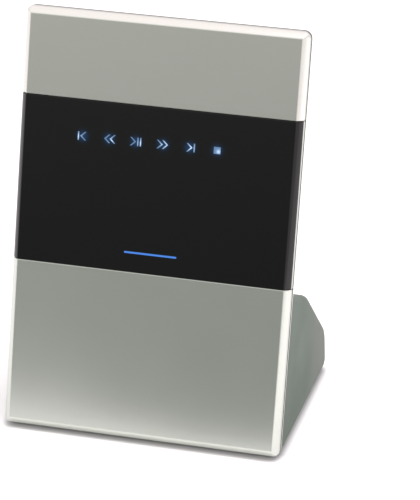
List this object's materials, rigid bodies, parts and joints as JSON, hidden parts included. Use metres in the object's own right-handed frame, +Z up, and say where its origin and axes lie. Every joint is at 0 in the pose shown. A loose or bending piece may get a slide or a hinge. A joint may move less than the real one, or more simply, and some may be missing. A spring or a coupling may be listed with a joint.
{
  "type": "media player with hard drive tray",
  "caption": "Upright slab media player leaning back on a wedge foot; bevelled silver and gloss-black fascia with touch symbols; a hard drive tray slides out of the foot sideways",
  "frame": {"origin": "centre of the footprint, on the table under the rubber pads", "axes": "+Z up, the fascia faces -Y and leans back, +X to the right seen from the front; the tray slides out towards -X"},
  "size_m": [0.1818, 0.1434, 0.2651],
  "materials": {
    "upper_silver": "satin silver, fine bead texture",
    "lower_silver": "satin silver, fine bead texture",
    "gloss_black": "high-gloss black",
    "symbol_light": "translucent, lit pale blue",
    "bar_light": "translucent, lit blue",
    "frame_silver": "light satin silver paint",
    "chassis_steel": "zinc-plated sheet",
    "screw_steel": "plated steel",
    "light_guide": "clear, frosted",
    "board_green": "green solder mask",
    "led_white": "white package",
    "ir_lens": "dark violet epoxy",
    "ribbon_film": "white film cable",
    "standoff_brass": "turned brass",
    "chip_black": "moulded epoxy",
    "sink_black": "black anodised",
    "capacitor_can": "dark sleeve",
    "cover_silver": "satin silver paint",
    "plate_steel": "plated sheet",
    "connector_black": "moulded black",
    "shell_steel": "tinned shell",
    "barrel_nickel": "nickel plated",
    "insert_green": "moulded green",
    "insert_blue": "moulded blue",
    "insert_red": "moulded red",
    "insert_orange": "moulded orange",
    "insert_yellow": "moulded yellow",
    "insert_white": "moulded white",
    "switch_black": "semi-gloss black",
    "button_grey": "moulded light grey",
    "foot_silver": "satin grey-green silver paint",
    "base_dark": "moulded charcoal",
    "pad_rubber": "matt black rubber",
    "rail_steel": "zinc-plated sheet",
    "fan_black": "moulded black",
    "tray_steel": "zinc-plated sheet",
    "handle_silver": "satin silver paint",
    "pin_steel": "ground steel",
    "drive_cast": "die-cast, grey",
    "drive_cover": "stamped bright steel"
  },
  "bodies": {
    "housing": {"upper_panel": "upper_silver", "touch_window": "gloss_black", "lower_panel": "lower_silver", "touch_symbols": "symbol_light", "status_light": "bar_light", "bezel_frame": "frame_silver", "chassis_plate": "chassis_steel", "panel_screws": "screw_steel", "foot_screws": "screw_steel", "light_guide": "light_guide", "touch_board": "board_green", "symbol_lights": "led_white", "infrared_receiver": "ir_lens", "ribbon_cable": "ribbon_film", "main_board": "board_green", "board_standoffs": "standoff_brass", "board_screws": "screw_steel", "main_processor": "chip_black", "heat_sink": "sink_black", "memory_chips": "chip_black", "board_capacitors": "capacitor_can", "rear_cover": "cover_silver", "cover_screws": "screw_steel", "connector_plate": "plate_steel", "dc_inlet": "connector_black", "network_socket": "shell_steel", "usb_sockets": "shell_steel", "hdmi_socket": "shell_steel", "jack_block": "connector_black", "jack_barrels": "barrel_nickel", "jack_insert_green": "insert_green", "jack_insert_blue": "insert_blue", "jack_insert_red": "insert_red", "jack_insert_orange": "insert_orange", "jack_insert_yellow": "insert_yellow", "jack_insert_white": "insert_white", "switch_body": "connector_black", "reset_switch": "connector_black", "foot_shell": "foot_silver", "base_plate": "base_dark", "base_screws": "screw_steel", "rubber_pads": "pad_rubber", "guide_rails": "rail_steel", "backplane_board": "board_green", "drive_socket": "connector_black", "drive_cable": "ribbon_film", "fan_frame": "fan_black", "fan_screws": "screw_steel"},
    "tray": {"drive_tray": "tray_steel", "tray_door": "foot_silver", "door_screws": "screw_steel", "handle_pin": "pin_steel", "drive_housing": "drive_cast", "drive_lid": "drive_cover", "drive_board": "board_green", "drive_screws": "screw_steel"},
    "pull_handle": {"tray_handle": "handle_silver"},
    "power_rocker": {"power_rocker": "switch_black"},
    "reset_button": {"reset_button": "button_grey"},
    "fan_rotor": {"fan_rotor": "fan_black"}
  },
  "joints": [
    {"name": "tray_slide", "type": "slide", "parent": "housing", "child": "tray", "axis": [-1, 0, 0], "range_m": [0, 0.16]},
    {"name": "handle_hinge", "type": "hinge", "parent": "tray", "child": "pull_handle", "pos_m": [-0.0884, 0.04344, 0.01825], "axis": [0, 0, -1], "range_deg": [0, 80]},
    {"name": "rocker_hinge", "type": "hinge", "parent": "housing", "child": "power_rocker", "pos_m": [0.0594, -0.018, 0.12816], "axis": [1, 0, 0], "range_deg": [0, 16]},
    {"name": "reset_press", "type": "slide", "parent": "housing", "child": "reset_button", "axis": [0, -0.9756, 0.2193], "range_m": [0, 0.0008], "stiffness_N_per_m": 400, "springref_m": -0.0004},
    {"name": "fan_spin", "type": "hinge", "parent": "housing", "child": "fan_rotor", "pos_m": [0, 0.03493, 0.05858], "axis": [0, 0.6458, 0.7635], "continuous": true}
  ]
}
